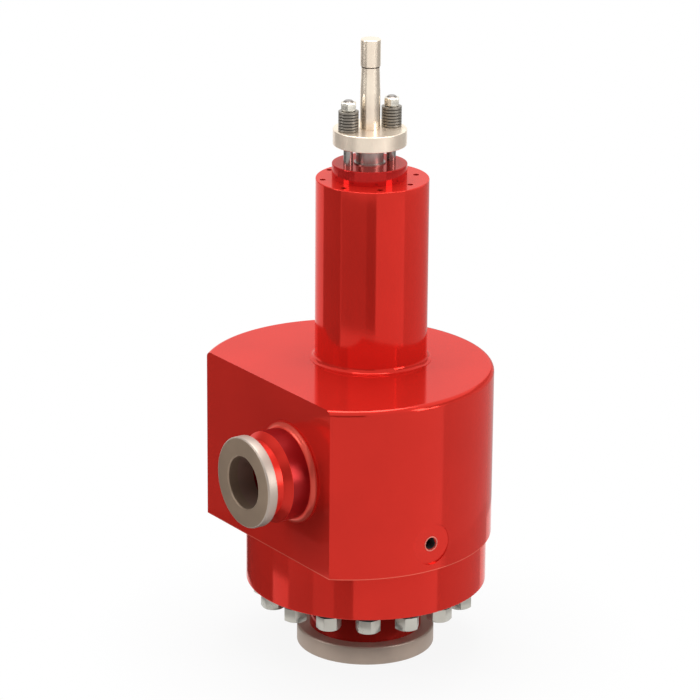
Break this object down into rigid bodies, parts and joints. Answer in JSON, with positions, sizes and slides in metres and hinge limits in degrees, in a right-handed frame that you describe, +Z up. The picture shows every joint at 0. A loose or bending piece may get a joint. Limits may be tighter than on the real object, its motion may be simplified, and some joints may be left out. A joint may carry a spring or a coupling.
{
  "type": "control valve",
  "caption": "Angle-pattern severe-service control valve with side clamp-hub inlet, bottom outlet, drilled cage trim, long neck, live-loaded gland and bare headed stem.",
  "frame": {"origin": "centre of the outlet hub's end face, on the stem axis", "axes": "+Z up along the stem, the inlet faces -X, the leak-off port faces -Y"},
  "size_m": [0.5205, 0.5, 1.084],
  "materials": {
    "red_paint": "gloss",
    "bare_hub": "satin",
    "screw_steel": "satin",
    "dark_steel": "satin",
    "graphite": "matt",
    "trim_steel": "fine turned",
    "seal_plastic": "matt",
    "polished_steel": "polished",
    "bronze": "turned"
  },
  "bodies": {
    "valve": {"valve_body": "red_paint", "bonnet_neck": "red_paint", "inlet_nozzle": "red_paint", "bottom_cover": "red_paint", "outlet_neck": "red_paint", "inlet_hub": "bare_hub", "outlet_hub": "bare_hub", "cover_screws": "screw_steel", "cover_washers": "dark_steel", "cover_gasket": "graphite", "seat_gasket": "graphite", "seat_ring": "trim_steel", "inner_cage": "trim_steel", "outer_cage": "trim_steel", "guide_bushing": "bronze", "packing_spacer": "trim_steel", "packing_rings": "graphite", "gland_follower": "dark_steel", "gland_flange": "polished_steel", "gland_studs": "dark_steel", "gland_nuts": "screw_steel", "left_springs": "dark_steel", "right_springs": "dark_steel"},
    "plug_and_stem": {"stem": "polished_steel", "plug": "trim_steel", "plug_pin": "dark_steel", "plug_seal": "seal_plastic"}
  },
  "joints": [
    {"name": "stem_stroke", "type": "slide", "parent": "valve", "child": "plug_and_stem", "axis": [0, 0, 1], "range_m": [0, 0.05]}
  ]
}
